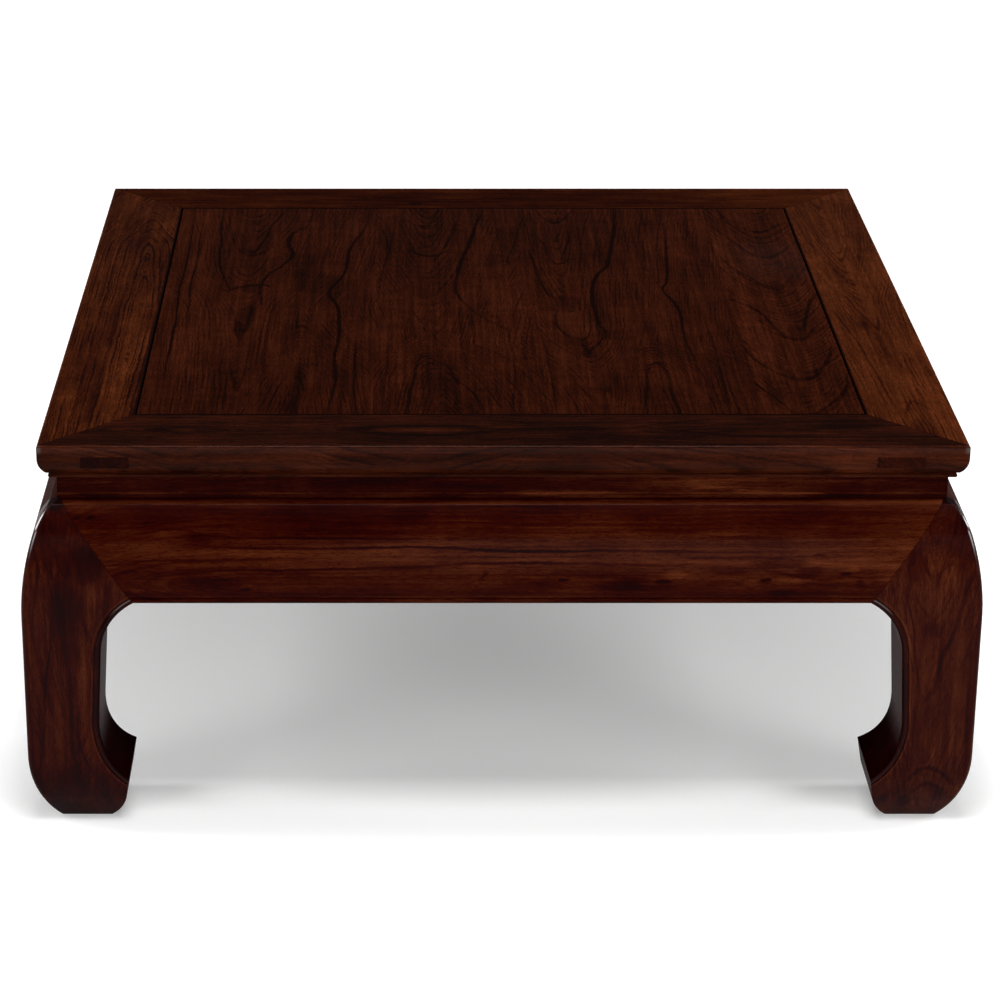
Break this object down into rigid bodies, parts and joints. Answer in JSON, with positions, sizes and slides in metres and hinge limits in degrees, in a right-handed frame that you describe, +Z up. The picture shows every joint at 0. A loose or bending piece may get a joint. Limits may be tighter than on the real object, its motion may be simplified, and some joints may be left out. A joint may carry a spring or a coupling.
{
  "type": "kang table",
  "caption": "Low square hardwood table with a mitred frame-and-panel top, narrow waist, swelling aprons and curved legs ending in inward hoof feet.",
  "frame": {"origin": "on the floor under the centre of the top", "axes": "+Z up; the front, which shows the through tenons of the top frame, faces -Y; the panel's grain runs along Y"},
  "size_m": [0.9544, 0.9544, 0.4064],
  "materials": {
    "leg_wood": "dark red-brown rosewood-like hardwood, waxed and polished",
    "top_frame_wood": "dark red-brown rosewood-like hardwood, waxed and polished",
    "waist_wood": "dark red-brown rosewood-like hardwood, waxed and polished",
    "apron_wood": "dark red-brown rosewood-like hardwood, waxed and polished",
    "panel_wood": "dark red-brown rosewood-like hardwood, waxed and polished",
    "batten_wood": "the same hardwood, planed and unpolished"
  },
  "bodies": {
    "root": {"apron_back": "apron_wood", "apron_front": "apron_wood", "apron_left": "apron_wood", "apron_right": "apron_wood", "batten_1": "batten_wood", "batten_2": "batten_wood", "batten_3": "batten_wood", "leg_back_left": "leg_wood", "leg_back_right": "leg_wood", "leg_front_left": "leg_wood", "leg_front_right": "leg_wood", "panel_board_1": "panel_wood", "panel_board_2": "panel_wood", "panel_board_3": "panel_wood", "panel_board_4": "panel_wood", "rail_back": "top_frame_wood", "rail_front": "top_frame_wood", "rail_left": "top_frame_wood", "rail_right": "top_frame_wood", "waist_back": "waist_wood", "waist_front": "waist_wood", "waist_left": "waist_wood", "waist_right": "waist_wood"}
  },
  "joints": []
}
